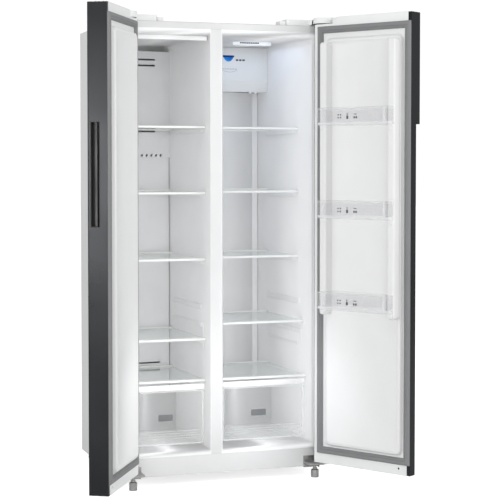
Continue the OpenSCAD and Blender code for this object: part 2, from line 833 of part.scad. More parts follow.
module door_core(w, corner_r, groove) {
    gap = sheet + 0.2;
    z = [door_z + 44, door_top - 48];
    difference() {
        translate([0, 0, z[0]]) linear_extrude(z[1] - z[0]) intersection() {
            door_plan(w, gap, corner_r - gap, false);
            translate([0, core_t0]) square([w, door_t]);
        }
        if (groove) box([w - grip_w - gap, w + 1], [33 - gap, door_t + 1], [z[0] - 1, grip_top + 2]);
    }
}

module left_door_core() {
    color("khaki") left_door() difference() {
        door_core(left_w, 5, false);
        left_pocket(0.3);
    }
}

// End caps: a cover over each end and a flange on the inner face; the pin turns in the bush
module door_caps(w, corner_r, groove) {
    flange_t = 2.6;
    bush = [pin_in, pin_out];
    difference() {
        union() {
            // Top: cover, lowered over the hinge corner, and inner flange
            translate([0, 0, door_top - 2]) linear_extrude(2) door_plan(w, 1.4, corner_r - 1.4, false);
            translate([0, 0, door_top - step_h - 4]) linear_extrude(4) intersection() {
                door_plan(w, 1.4, corner_r - 1.4, false);
                translate([0, sheet + 0.2]) square([step_w + 3, door_t]);
            }
            box([step_w, step_w + 3], [0, door_t - 2], [door_top - step_h - 2, door_top]);
            box([sheet + 0.3, w - lip_w - 0.5], [0, flange_t], [door_top - cap_top + 0.3, door_top - 1]);
            translate([bush[0], bush[1], door_top - step_h - 22]) cylinder(h = 22, r = pin_r + 5);
            // Bottom
            translate([0, 0, door_z]) linear_extrude(2) door_plan(w, 1.4, corner_r - 1.4, groove);
            box([sheet + 0.3, w - lip_w - 0.5], [0, flange_t], [door_z + 1, door_z + cap_bottom - 0.3]);
            translate([bush[0], bush[1], door_z]) cylinder(h = 40, r = pin_r + 5);
        }
        difference() {
            hinge_step(w, 0);
            box([step_w, step_w + 1], [0, door_t], [door_top - step_h, door_top]);
        }
        translate([bush[0], bush[1], door_top - step_h - 30]) cylinder(h = 60, r = pin_r + pin_gap);
        translate([bush[0], bush[1], door_z - 1]) cylinder(h = 33, r = pin_r + pin_gap);
        translate([w - 50, -1, door_z + 24]) rotate([-90, 0, 0]) cylinder(h = 6, r = 4);
    }
    // Block on the lowered corner, clear of the hinge cover's head
    box([step_w - 24, step_w + 0.5], [14, door_t - 14], [door_top - step_h - 1, door_top - 4]);
}

module left_door_caps() { color("white") left_door() door_caps(left_w, 5, false); }

// Gasket: a flat base with a raised magnet strip
module gasket(w) {
    out_s = [gasket_in, w - 1];
    out_z = [door_z + cap_bottom, door_top - cap_top];
    color("gray") difference() {
        union() {
            box(out_s, [-3, -0.05], out_z);
            box([out_s[0] + 4, out_s[1] - 3], [-door_gap + gasket_gap, -2], [out_z[0] + 4, out_z[1] - 4]);
        }
        box([out_s[0] + gasket_w, out_s[1] - gasket_w], [-20, 2], [out_z[0] + gasket_w, out_z[1] - gasket_w]);
        box([out_s[0] + gasket_w - 6, out_s[1] - gasket_w + 6], [-20, -3],
            [out_z[0] + gasket_w - 6, out_z[1] - gasket_w + 6]);
    }
}

module left_door_gasket() { left_door() gasket(left_w); }

// A hollow step in a door liner; its outside is drawn and its inside follows by the wall
module liner_step(s, depth, z, slope) {
    difference() {
        step_body(s, [0, depth], z, slope);
        step_body([s[0] + liner_t, s[1] - liner_t], [-1, depth - liner_t], [z[0] + liner_t, z[1] - liner_t], slope);
    }
}

module step_body(s, d, z, slope) {
    translate([0, 0, z[0]]) linear_extrude(z[1] - z[0]) polygon([
        [s[0], -d[0]], [s[0] + slope, -d[1]], [s[1] - slope, -d[1]], [s[1], -d[0]]]);
}

// Start of a raised field whose side slopes, so that it clears the cavity's wall when closed
function field_start(slope, depth) = side_wall + plateau_gap - slope * door_gap / depth;

module liner_base(w) {
    box([sheet + 0.3, w - lip_w - 0.5], [0, liner_t], [door_z + cap_bottom, door_top - cap_top]);
}

module left_door_liner() {
    slope = 16;
    s = [field_start(slope, plateau), left_w - gasket_w - 3];
    z = plateau_z;
    color("whitesmoke") left_door() {
        difference() {
            liner_base(left_w);
            box([s[0] + liner_t, s[1] - liner_t], [-1, 5], [z[0] + liner_t, z[1] - liner_t]);
        }
        liner_step(s, plateau, z, slope);
    }
}

// Right door liner: a shallow plateau, two dykes that carry the bins, and a low lower field
module right_door_liner() {
    slope = 8;
    low_field = 12;
    s = [field_start(slope, low_field), right_w - gasket_w - 3];
    z = plateau_z;
    dyke_z = [dyke_low, door_top - 92];
    dykes = [[dyke_s, dyke_s + dyke_w], [right_w - 36 - dyke_w, right_w - 36]];
    color("whitesmoke") right_door() {
        difference() {
            liner_base(right_w);
            box([s[0] + liner_t, s[1] - liner_t], [-1, 5], [z[0] + liner_t, z[1] - liner_t]);
        }
        difference() {
            liner_step(s, low_field, z, slope);
            for (d = dykes)
                box([d[0] + liner_t, d[1] - liner_t], [-20, 5], [dyke_z[0] + liner_t, dyke_z[1] - liner_t]);
        }
        for (d = dykes)
            difference() {
                dyke(d, dyke_t, dyke_z);
                dyke([d[0] + liner_t, d[1] - liner_t], dyke_t - liner_t, [dyke_z[0] + liner_t, dyke_z[1] - liner_t]);
            }
    }
}

// One dyke, with its ends sloped
module dyke(s, out, z) {
    slope = 34;
    translate([s[1], 0, 0]) rotate([0, -90, 0]) linear_extrude(s[1] - s[0])
        polygon([[z[0], -9.6], [z[0] + slope, -out], [z[1] - slope, -out], [z[1], -9.6]]);
}

// Plan of a bin: a tray between the dykes that widens in front of them
module bin_plan(inset) {
    tray = [dyke_s + dyke_w + 1 + inset, right_w - 36 - dyke_w - 1 - inset];
    wide = [dyke_s + 2 + inset, right_w - 38 - inset];
    back = 13 + inset;
    mid = dyke_t + 0.6 + inset;
    out = bin_out - inset;
    cheek = 20;
    polygon([[tray[0], -back], [tray[1], -back], [tray[1], -mid], [wide[1], -mid],
        [wide[1], -out + cheek], [wide[1] - cheek, -out], [wide[0] + cheek, -out],
        [wide[0], -out + cheek], [wide[0], -mid], [tray[0], -mid]]);
}

module door_bin(z) {
    color("aliceblue", 0.6) right_door() difference() {
        translate([0, 0, z]) linear_extrude(bin_h) bin_plan(0);
        translate([0, 0, z + clear_t + 0.5]) linear_extrude(bin_h) bin_plan(clear_t);
    }
}

module door_bin_lower() { door_bin(bin_z[0]); }
module door_bin_middle() { door_bin(bin_z[1]); }
module door_bin_upper() { door_bin(bin_z[2]); }

module right_door_skin() {
    color("dimgray") right_door() difference() {
        union() {
            door_skin(right_w, 5, [skin_z[0], grip_top], true);
            door_skin(right_w, 21, [grip_top, skin_z[1]], false);
            translate([0, 0, grip_top]) linear_extrude(2) difference() {
                door_plan(right_w, 0, 21, false);
                door_plan(right_w, 1, 21, true);
            }
        }
        hinge_step(right_w, 0);
    }
}

module right_door_core() { color("khaki") right_door() door_core(right_w, 21, true); }
module right_door_caps() { color("white") right_door() door_caps(right_w, 21, true); }
module right_door_gasket() { right_door() gasket(right_w); }

outer_shell();
back_panel();
base_pan();
cabinet_foam();
freezer_liner();
fridge_liner();
top_rail();
mullion_cover();
plinth_rail();
freezer_duct_upper();
freezer_duct_lower();
evaporator();
evaporator_fan();
fridge_duct_box();
fridge_lamp();
freezer_shelf_1();
freezer_shelf_2();
freezer_shelf_3();
freezer_shelf_4();
freezer_drawer_cover();
freezer_shelf_trims();
fridge_shelf_1();
fridge_shelf_2();
fridge_shelf_3();
fridge_shelf_4();
fridge_drawer_cover();
fridge_shelf_trims();
freezer_drawer();
fridge_drawer();
top_hinge_left();
top_hinge_right();
hinge_cover_left();
hinge_cover_right();
bottom_hinge_left();
bottom_hinge_right();
hinge_screws();
foot_left();
foot_right();
rear_roller_left();
rear_roller_right();
compressor();
condenser();
drip_tray();
control_board();
rear_grille();
left_door_skin();
left_door_core();
left_door_liner();
left_door_gasket();
left_door_caps();
left_door_handle();
right_door_skin();
right_door_core();
right_door_liner();
right_door_gasket();
right_door_caps();
door_bin_lower();
door_bin_middle();
door_bin_upper();
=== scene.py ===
"""The looks of a side by side refrigerator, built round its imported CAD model.

Sizes are in millimetres unless a name says otherwise. Cabinet space has x across from the cabinet's
middle, y back from its front frame and z up from the floor. Door space has s along the door from its
hinge side, t outwards from its inner face and z up.
"""
import json
import math

import bmesh
import bpy
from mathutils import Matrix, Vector

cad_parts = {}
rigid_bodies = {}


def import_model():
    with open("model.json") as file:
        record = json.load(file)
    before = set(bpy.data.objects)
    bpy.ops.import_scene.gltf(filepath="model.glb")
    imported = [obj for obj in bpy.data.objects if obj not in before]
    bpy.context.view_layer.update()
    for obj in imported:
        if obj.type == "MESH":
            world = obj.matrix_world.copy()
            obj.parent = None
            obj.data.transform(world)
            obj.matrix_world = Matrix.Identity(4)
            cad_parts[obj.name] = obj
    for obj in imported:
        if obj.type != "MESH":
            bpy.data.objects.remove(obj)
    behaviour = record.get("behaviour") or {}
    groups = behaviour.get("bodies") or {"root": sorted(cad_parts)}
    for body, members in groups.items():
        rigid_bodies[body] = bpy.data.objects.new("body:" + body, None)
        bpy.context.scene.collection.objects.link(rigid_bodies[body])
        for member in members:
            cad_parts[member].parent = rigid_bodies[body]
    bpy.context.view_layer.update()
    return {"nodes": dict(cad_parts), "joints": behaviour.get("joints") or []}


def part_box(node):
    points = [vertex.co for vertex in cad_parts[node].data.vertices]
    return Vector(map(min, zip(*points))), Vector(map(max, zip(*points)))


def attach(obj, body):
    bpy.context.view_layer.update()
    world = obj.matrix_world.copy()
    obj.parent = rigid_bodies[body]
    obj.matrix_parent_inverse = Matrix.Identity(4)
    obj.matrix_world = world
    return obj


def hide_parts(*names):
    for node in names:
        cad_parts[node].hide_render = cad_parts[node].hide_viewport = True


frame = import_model()
NODES = frame["nodes"]
JOINTS = {joint["name"]: joint for joint in frame["joints"]}

# ---- Places ----

MM = 0.001
SHELL_LOW, SHELL_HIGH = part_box("outer_shell")
MID_X = (SHELL_LOW.x + SHELL_HIGH.x) / 2
FRONT_Y = SHELL_LOW.y
HALF_W = (SHELL_HIGH.x - SHELL_LOW.x) / 2 / MM

# Cavities, as in the CAD model
DEPTH = 560
DRAFT = 24
OPEN_Z = (132, 1695)
HUMP_Y = 404
HUMP_Z = 306
DUCT_Y = 466
FREEZER_X = (-358, -54)
FRIDGE_X = (-3, 358)
FRIDGE_MID = sum(FRIDGE_X) / 2
FLANGE_Z = (110.3, 1721.7)
FLANGE_X = HALF_W - 14.3
SHEET = 2.2

# Doors, as in the CAD model
LEFT_W = 384.5
RIGHT_W = 438.5
DOOR_Z = (65, 1770)
CAP_BOTTOM = 39
CAP_TOP = 34
PIN_IN = 21
PIN_OUT = 40
GASKET_IN = 17
GASKET_W = 27
BIN_Z = (666, 1009, 1357)
BIN_H = 68
BIN_OUT = 80
DYKE_W = 34
DYKE_T = 54
NEAR_DYKE = (61, 61 + DYKE_W)
FAR_DYKE = (RIGHT_W - 36 - DYKE_W, RIGHT_W - 36)


def at(x, y, z):
    """A point of cabinet space in the frame, in metres."""
    return Vector((MID_X + x * MM, FRONT_Y + y * MM, z * MM))


def lean(y):
    """How far the cavity walls have leant in at a depth."""
    return DRAFT * y / DEPTH


def door_space(joint, side):
    """A function that puts a point of one open door's space in the frame."""
    pin = Vector(JOINTS[joint]["pos_m"])
    turn = math.radians(-JOINTS[joint]["range_deg"][0])

    def place(s, t, z):
        u, v = s - PIN_IN, PIN_OUT - t
        x = u * math.cos(turn) + v * math.sin(turn)
        y = v * math.cos(turn) - u * math.sin(turn)
        return Vector((pin.x + side * x * MM, pin.y + y * MM, z * MM))

    return place


on_left = door_space("left_door_hinge", 1)
on_right = door_space("right_door_hinge", -1)

# ---- Materials ----


def new_material(name):
    material = bpy.data.materials.new(name)
    material.use_nodes = True
    nodes = material.node_tree.nodes
    return material, nodes, material.node_tree.links, nodes["Principled BSDF"]


def noise_field(nodes, links, scale, stretch=(1, 1, 1), detail=3.0):
    """Noise over the surface, its size in features per metre, stretched along chosen axes."""
    where = nodes.new("ShaderNodeTexCoord")
    mapping = nodes.new("ShaderNodeMapping")
    mapping.inputs["Scale"].default_value = stretch
    noise = nodes.new("ShaderNodeTexNoise")
    noise.inputs["Scale"].default_value = scale
    noise.inputs["Detail"].default_value = detail
    links.new(where.outputs["Object"], mapping.inputs["Vector"])
    links.new(mapping.outputs["Vector"], noise.inputs["Vector"])
    return noise.outputs["Fac"]


# The middle of the noise, stretched over the whole of a change
NOISE_LOW, NOISE_HIGH = 0.3, 0.7


def vary_colour(nodes, links, shader, field, colour, amount):
    """Base colour that drifts a little around its value."""
    ramp = nodes.new("ShaderNodeValToRGB")
    low, high = ramp.color_ramp.elements
    low.position, high.position = NOISE_LOW, NOISE_HIGH
    low.color = (*[c * (1 - amount) for c in colour], 1)
    high.color = (*[min(1, c * (1 + amount)) for c in colour], 1)
    links.new(field, ramp.inputs["Fac"])
    links.new(ramp.outputs["Color"], shader.inputs["Base Color"])


def vary_roughness(nodes, links, shader, field, low, high):
    spread = nodes.new("ShaderNodeMapRange")
    spread.inputs["From Min"].default_value = NOISE_LOW
    spread.inputs["From Max"].default_value = NOISE_HIGH
    spread.inputs["To Min"].default_value = low
    spread.inputs["To Max"].default_value = high
    links.new(field, spread.inputs["Value"])
    links.new(spread.outputs["Result"], shader.inputs["Roughness"])


def add_bump(nodes, links, shader, field, strength, distance):
    bump = nodes.new("ShaderNodeBump")
    bump.inputs["Strength"].default_value = strength
    bump.inputs["Distance"].default_value = distance
    links.new(field, bump.inputs["Height"])
    links.new(bump.outputs["Normal"], shader.inputs["Normal"])


def solid_finish(name, colour, rough, tint=0.02, metal=0.0, patch=9, grain=900, stretch=(1, 1, 1),
                 bump=0.12, depth=0.00008, coat=0.0, specular=0.5):
    """An opaque finish: slow drift in colour and roughness, and a fine grain in the surface."""
    material, nodes, links, shader = new_material(name)
    shader.inputs["Metallic"].default_value = metal
    shader.inputs["Coat Weight"].default_value = coat
    shader.inputs["Specular IOR Level"].default_value = specular
    slow = noise_field(nodes, links, patch)
    fine = noise_field(nodes, links, grain, stretch, 2.0)
    vary_colour(nodes, links, shader, slow, colour, tint)
    vary_roughness(nodes, links, shader, slow, rough * 0.88, rough * 1.12)
    add_bump(nodes, links, shader, fine, bump, depth)
    return material


# How steeply a clear wall turns milky where it is seen edge on, and how far
EDGE_POWER = 4
EDGE_VEIL = 0.7


def see_through(name, colour, body, rough, veil, tint=0.02):
    """Clear plastic or glass: mostly lets light straight through, with a thin veil of its own."""
    material, nodes, links, shader = new_material(name)
    slow = noise_field(nodes, links, 14)
    vary_colour(nodes, links, shader, slow, body, tint)
    vary_roughness(nodes, links, shader, slow, rough * 0.8, rough * 1.2)
    clear = nodes.new("ShaderNodeBsdfTransparent")
    clear.inputs["Color"].default_value = (*colour, 1)
    edge = nodes.new("ShaderNodeLayerWeight")
    steep = nodes.new("ShaderNodeMath")
    steep.operation = "POWER"
    steep.inputs[1].default_value = EDGE_POWER
    share = nodes.new("ShaderNodeMapRange")
    share.inputs["To Min"].default_value = veil
    share.inputs["To Max"].default_value = EDGE_VEIL
    mix = nodes.new("ShaderNodeMixShader")
    links.new(edge.outputs["Facing"], steep.inputs[0])
    links.new(steep.outputs["Value"], share.inputs["Value"])
    links.new(share.outputs["Result"], mix.inputs["Fac"])
    links.new(clear.outputs["BSDF"], mix.inputs[1])
    links.new(shader.outputs["BSDF"], mix.inputs[2])
    links.new(mix.outputs["Shader"], nodes["Material Output"].inputs["Surface"])
    return material


def glowing(name, colour, strength):
    """A diffusing lens with a soft light behind it."""
    material, nodes, links, shader = new_material(name)
    field = noise_field(nodes, links, 40)
    vary_colour(nodes, links, shader, field, colour, 0.02)
    vary_roughness(nodes, links, shader, field, 0.25, 0.35)
    shader.inputs["Emission Color"].default_value = (*colour, 1)
    shader.inputs["Emission Strength"].default_value = strength
    return material


WHITE_SHEET = solid_finish("white_painted_sheet", (0.72, 0.72, 0.718), 0.34, 0.012, grain=420, bump=0.10,
                           coat=0.25)
WHITE_LINER = solid_finish("white_formed_liner", (0.88, 0.882, 0.885), 0.42, 0.012, grain=300, bump=0.06)
DOOR_LINER = solid_finish("white_door_liner", (0.77, 0.77, 0.768), 0.38, 0.012, grain=300, bump=0.06)
WHITE_MOULDED = solid_finish("white_moulded_plastic", (0.80, 0.805, 0.80), 0.40, 0.015, grain=1400, bump=0.15)
TRIM_WHITE = solid_finish("white_shelf_trim", (0.86, 0.865, 0.86), 0.32, 0.01, grain=1200, bump=0.08)
DUCT_GREY = solid_finish("pale_grey_duct_cover", (0.80, 0.81, 0.815), 0.34, 0.02, grain=1100, bump=0.12)
DARK_DOOR = solid_finish("dark_brushed_steel", (0.032, 0.033, 0.035), 0.30, 0.08, metal=0.85, patch=5,
                         grain=700, stretch=(1, 1, 0.02), bump=0.20)
BLACK_PLASTIC = solid_finish("black_moulded_plastic", (0.012, 0.012, 0.013), 0.34, 0.2, grain=1500, bump=0.2)
GASKET_GREY = solid_finish("grey_door_seal", (0.21, 0.212, 0.214), 0.62, 0.05, grain=700, bump=0.2)
ZINC = solid_finish("zinc_plated_steel", (0.46, 0.46, 0.45), 0.42, 0.14, metal=0.85, patch=70, grain=260,
                    bump=0.12)
ALUMINIUM = solid_finish("bare_aluminium", (0.62, 0.63, 0.64), 0.35, 0.08, metal=0.9, patch=30, grain=600)
FOAM = solid_finish("rigid_foam", (0.72, 0.60, 0.33), 0.85, 0.12, patch=25, grain=900, bump=0.5, depth=0.0004)
BLACK_METAL = solid_finish("black_painted_steel", (0.016, 0.016, 0.017), 0.38, 0.25, patch=20, grain=500,
                           bump=0.2)
ROLLER = solid_finish("nylon_roller", (0.55, 0.54, 0.51), 0.5, 0.06, patch=40)
BOARD = solid_finish("circuit_board", (0.02, 0.13, 0.06), 0.45, 0.2, patch=90, grain=1200, bump=0.3)
LABEL_GREY = solid_finish("grey_printed_label", (0.17, 0.175, 0.18), 0.5, 0.05, patch=60)
PRINT_GREY = solid_finish("grey_print", (0.07, 0.07, 0.072), 0.55, 0.05, patch=60)
BADGE_BLUE = solid_finish("blue_badge", (0.004, 0.19, 0.62), 0.34, 0.2, patch=30, specular=0.3)
BADGE_AZURE = solid_finish("azure_badge", (0.01, 0.30, 0.78), 0.34, 0.15, patch=30, specular=0.3)
PRINT_PALE = solid_finish("pale_grey_print", (0.42, 0.43, 0.44), 0.55, 0.05, patch=60)
BADGE_DARK = solid_finish("deep_blue_badge", (0.004, 0.03, 0.20), 0.36, 0.12, patch=30, specular=0.3)
LAMP_STRIP = solid_finish("dark_lamp_strip", (0.10, 0.105, 0.115), 0.4, 0.1, patch=80)
GLASS = see_through("clear_shelf_glass", (0.975, 0.985, 0.983), (0.84, 0.88, 0.87), 0.08, 0.02)
CLEAR = see_through("clear_tinted_plastic", (0.996, 0.997, 0.997), (0.90, 0.905, 0.905), 0.2, 0.07)
BIN_CLEAR = see_through("clear_bin_plastic", (0.945, 0.945, 0.948), (0.90, 0.905, 0.905), 0.2, 0.05)
FROSTED = see_through("frosted_plastic", (0.975, 0.975, 0.975), (0.92, 0.925, 0.925), 0.4, 0.3)
PALE_BAND = see_through("pale_drawer_band", (0.97, 0.97, 0.97), (0.93, 0.93, 0.93), 0.3, 0.72)
LAMP_LENS = glowing("lamp_lens", (0.90, 0.95, 1.0), 0.22)
SHADOWLESS = (GLASS, CLEAR, BIN_CLEAR, FROSTED)

# ---- Mesh helpers ----


def finish_mesh(name, bm, materials, body, replaces=(), sharp_deg=38):
    """Turns a bmesh into a piece that rides on a body, with crisp edges where it bends hard."""
    bm.normal_update()
    for edge in bm.edges:
        hard = len(edge.link_faces) == 2 and edge.calc_face_angle(0) > math.radians(sharp_deg)
        edge.smooth = not hard
    for face in bm.faces:
        face.smooth = True
    mesh = bpy.data.meshes.new(name)
    bm.to_mesh(mesh)
    bm.free()
    for material in materials:
        mesh.materials.append(material)
    piece = bpy.data.objects.new(name, mesh)
    bpy.context.scene.collection.objects.link(piece)
    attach(piece, body)
    if replaces:
        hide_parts(*replaces)
    return piece


def add_bevel(piece, width_mm, segments=3, weighted=False):
    bevel = piece.modifiers.new("edge_radius", "BEVEL")
    bevel.width = width_mm * MM
    bevel.segments = segments
    bevel.limit_method = "WEIGHT" if weighted else "ANGLE"
    bevel.angle_limit = math.radians(32)
    bevel.miter_outer = "MITER_ARC"


def even_shading(piece):
    modifier = piece.modifiers.new("even_shading", "WEIGHTED_NORMAL")
    modifier.keep_sharp = True


def loft(bm, rings, cap_first=False, cap_last=False, closed=False, material=0):
    """Skins a row of rings that have the same number of points."""
    layers = [[bm.verts.new(point) for point in ring] for ring in rings]
    count = len(layers[0])
    pairs = list(zip(layers, layers[1:]))
    if closed:
        pairs.append((layers[-1], layers[0]))
    made = []
    for low, high in pairs:
        for n in range(count):
            m = (n + 1) % count
            made.append(bm.faces.new((low[n], low[m], high[m], high[n])))
    if cap_first:
        made.append(bm.faces.new(layers[0][::-1]))
    if cap_last:
        made.append(bm.faces.new(layers[-1]))
    for face in made:
        face.material_index = material


def rounded_path(corners, radii, steps=5):
    """A closed outline through corners, each rounded by its own radius."""
    count = len(corners)
    path = []
    for n in range(count):
        corner = Vector(corners[n])
        back = (Vector(corners[n - 1]) - corner).normalized()
        on = (Vector(corners[(n + 1) % count]) - corner).normalized()
        half = back.angle(on) / 2
        radius = radii[n] if isinstance(radii, (list, tuple)) else radii
        reach = radius / math.tan(half)
        centre = corner + (back + on).normalized() * radius / math.sin(half)
        start, end = corner + back * reach, corner + on * reach
        a, b = start - centre, end - centre
        sweep = a.angle_signed(b)
        for k in range(steps + 1):
            turn = -sweep * k / steps
            path.append((centre.x + a.x * math.cos(turn) - a.y * math.sin(turn),
                         centre.y + a.x * math.sin(turn) + a.y * math.cos(turn)))
    return path


def rectangle(x, z, across=0, up=None):
    """The corners of a rectangle, drawn inwards by across, and by up where that differs."""
    up = across if up is None else up
    return [(x[0] + across, z[0] + up), (x[1] - across, z[0] + up),
            (x[1] - across, z[1] - up), (x[0] + across, z[1] - up)]


def rounded_box(x, z, radius, inset=0.0):
    """A rectangle with round corners, drawn inwards by inset."""
    return rounded_path(rectangle(x, z, inset), max(radius - inset, 0.6))


def tidy_normals(bm):
    bmesh.ops.recalc_face_normals(bm, faces=bm.faces)


def hexahedron(bm, corners, material=0):
    """A closed block from four low and four high corners, both in the same turn."""
    low = [bm.verts.new(point) for point in corners[:4]]
    high = [bm.verts.new(point) for point in corners[4:]]
    faces = [bm.faces.new(low[::-1]), bm.faces.new(high)]
    for n in range(4):
        m = (n + 1) % 4
        faces.append(bm.faces.new((low[n], low[m], high[m], high[n])))
    for face in faces:
        face.material_index = material
    return faces


def raised_plate(bm, place, x, z, base, height, radius, edge=0.8, material=0):
    """A plate with round corners and a softened rim. place takes (across, out, up)."""
    steps = [(0, base), (0, height - edge), (edge * 0.3, height - edge * 0.3), (edge, height)]
    rings = [[place(u, out, v) for u, v in rounded_box(x, z, radius, inset)] for inset, out in steps]
    loft(bm, rings, True, True, material=material)


def dress(node, material, edge_mm=0.8, segments=2):
    """Gives a CAD node its finish and soft edges, with its shape as packed."""
    part = NODES[node]
    part.data.materials.clear()
    part.data.materials.append(material)
    for polygon in part.data.polygons:
        polygon.material_index = 0
        polygon.use_smooth = True
    weld = part.modifiers.new("weld", "WELD")
    weld.merge_threshold = 0.00001
    flat = part.modifiers.new("merge_flats", "DECIMATE")
    flat.decimate_type = "DISSOLVE"
    flat.angle_limit = math.radians(1.0)
    if edge_mm:
        add_bevel(part, edge_mm, segments)
    even_shading(part)


# ---- Cavity liners ----

# Radii of the formed sheet: its corners, the front rim, the rim beside the pillar, and moulded bars
CORNER_R = 24
LIP_R = 11
PILLAR_R = 4.5
BAR_R = 2.4
BACK_BAR_R = 4
RAIL_REACH = 9
RAIL_TIP = 26


def wall_bar(bm, weight, x, side, y, z, reach, tip=0):
    """A bar moulded in a cavity wall. tip tapers its front end back along y."""
    wall = (lambda d: x[0] + lean(d)) if side == 0 else (lambda d: x[1] - lean(d))
    inward = 1 if side == 0 else -1
    low, high = [], []
    for depth, out in ((y[0], -1), (y[1], -1), (y[1], reach), (y[0] + tip, reach)):
        low.append(at(wall(depth) + inward * out, depth, z[0]))
        high.append(at(wall(depth) + inward * out, depth, z[1]))
    faces = hexahedron(bm, low + high)
    bmesh.ops.recalc_face_normals(bm, faces=faces)
    for face in faces:
        for edge in face.edges:
            edge[weight] = BAR_R / CORNER_R


def cavity_liner(name, x, outer, shelves, extra_bars, back_bars=()):
    """One vacuum formed liner: front flange, leaning walls, raised floor, rails and reliefs."""
    bm = bmesh.new()
    weight = bm.edges.layers.float.new("bevel_weight_edge")
    # From the front along the floor, over the hump, up the back and out along the roof
    path = [(0, OPEN_Z[0]), (HUMP_Y, OPEN_Z[0]), (HUMP_Y, HUMP_Z), (DEPTH, HUMP_Z),
            (DEPTH, OPEN_Z[1]), (0, OPEN_Z[1])]
    left = [bm.verts.new(at(x[0] + lean(y), y, z)) for y, z in path]
    right = [bm.verts.new(at(x[1] - lean(y), y, z)) for y, z in path]
    rim = [bm.verts.new(at(u, 0, z)) for u, z in rectangle(outer, FLANGE_Z)]
    for n in range(5):
        bm.faces.new((left[n], right[n], right[n + 1], left[n + 1]))
    bm.faces.new(left)
    bm.faces.new(right[::-1])
    bm.faces.new((rim[0], rim[1], right[0], left[0]))
    bm.faces.new((rim[1], rim[2], right[5], right[0]))
    bm.faces.new((rim[2], rim[3], left[5], right[5]))
    bm.faces.new((rim[3], rim[0], left[0], left[5]))
    pillar = {True: right, False: left}[abs(x[1]) < abs(x[0])]
    for edge in bm.edges:
        if len(edge.link_faces) < 2 or edge.calc_face_angle(0) < 0.02:
            continue
        ends = set(edge.verts)
        front = all(abs(v.co.y - FRONT_Y) < 1e-6 for v in ends)
        radius = CORNER_R
        if front:
            radius = PILLAR_R if ends == {pillar[0], pillar[5]} else LIP_R
        edge[weight] = radius / CORNER_R
    for z, y_front in shelves:
        for side in (0, 1):
            wall_bar(bm, weight, x, side, (y_front + 10, DUCT_Y - 16), (z - 24, z - 9.5),
                     RAIL_REACH, RAIL_TIP)
    for side, y, z, reach in extra_bars:
        wall_bar(bm, weight, x, side, y, z, reach, 5)
    for u, y, z in back_bars:
        low = [at(u[0], y[1], z[0]), at(u[0], y[0], z[0]), at(u[1], y[0], z[0]), at(u[1], y[1], z[0])]
        high = [at(u[0], y[1], z[1]), at(u[0], y[0], z[1]), at(u[1], y[0], z[1]), at(u[1], y[1], z[1])]
        faces = hexahedron(bm, low + high)
        bmesh.ops.recalc_face_normals(bm, faces=faces)
        for face in faces:
            for edge in face.edges:
                edge[weight] = BACK_BAR_R / CORNER_R
    piece = finish_mesh(name, bm, [WHITE_LINER], "cabinet",
                        [name.replace("_formed", "")], 180)
    add_bevel(piece, CORNER_R, 6, weighted=True)
    skin = piece.modifiers.new("sheet", "SOLIDIFY")
    skin.thickness = SHEET * MM
    skin.offset = -1
    even_shading(piece)


# Shelves as (height, front edge), and shallow reliefs in the right wall as (side, y, z, reach)
RELIEF = 2.5
FREEZER_SHELVES = [(z, 46) for z in (549, 854, 1107, 1358, 391)]
FRIDGE_SHELVES = list(zip((602, 855, 1110, 1358, 391), (75, 125, 125, 128, 46)))
FREEZER_RELIEFS = [
    (1, (92, 444), (656, 674), RELIEF + 2), (1, (92, 444), (588, 604), RELIEF + 2),
    (1, (436, 446), (560, 674), RELIEF), (1, (70, 82), (500, 604), RELIEF),
]
FRIDGE_RELIEFS = [
    (1, (110, 444), (664, 684), RELIEF + 2), (1, (96, 444), (548, 564), RELIEF + 2),
    (1, (130, 444), (500, 512), RELIEF + 1), (1, (92, 100), (500, 564), RELIEF),
]
PILLAR_LIP = 4.8
# A lip that hangs down across the top of the freezer's opening, and a rib up the fridge's back corner
FREEZER_LIP = ((FREEZER_X[0] + 1, FREEZER_X[1] - 7), (11, 26), (OPEN_Z[1] - 16, OPEN_Z[1] + 1))
FRIDGE_RIB = ((306, 330), (554, DEPTH + 1), (HUMP_Z + 2, OPEN_Z[1] - 186))
cavity_liner("freezer_liner_formed", FREEZER_X, (-FLANGE_X, FREEZER_X[1] + PILLAR_LIP), FREEZER_SHELVES,
             FREEZER_RELIEFS, [FREEZER_LIP])
cavity_liner("fridge_liner_formed", FRIDGE_X, (FRIDGE_X[0] - PILLAR_LIP, FLANGE_X), FRIDGE_SHELVES,
             FRIDGE_RELIEFS, [FRIDGE_RIB])


def pillar_strip():
    """The white strip between the two openings, with its long edges rolled back."""
    bm = bmesh.new()
    x = (FREEZER_X[1] + PILLAR_LIP + 0.3, FRIDGE_X[0] - PILLAR_LIP - 0.3)
    raised_plate(bm, lambda u, out, v: at(u, 2.4 - out, v), x, FLANGE_Z, 0, 2.4, 0.8, 0.7)
    tidy_normals(bm)
    finish_mesh("pillar_strip", bm, [WHITE_SHEET], "cabinet", ["mullion_cover"])


pillar_strip()

# ---- Door liners ----


def stack(bm, place, s, z, radius, profile):
    """A raised form from rounded rectangles: profile gives (inset across, inset up, height)."""
    rings = []
    for across, up, height in profile:
        corner = max(radius - min(across, up) * 0.5, 1.5)
        rings.append([place(u, -height, v) for u, v in rounded_path(rectangle(s, z, across, up), corner)])
    loft(bm, rings, cap_last=True)


def shoulder(foot, top, run, rise_r, steps=4):
    """Heights from foot to top: a hollow curve, a leaning wall and a round shoulder."""
    points = []
    for k in range(steps + 1):
        turn = math.pi / 2 * k / steps
        points.append((rise_r * math.sin(turn) * 0.5, foot + rise_r * (1 - math.cos(turn)) * 0.5))
    for k in range(steps + 1):
        turn = math.pi / 2 * k / steps
        points.append((run - rise_r * math.cos(turn), top - rise_r * (1 - math.sin(turn))))
    return points


PLATEAU_R = 26
LINE_IN = 15


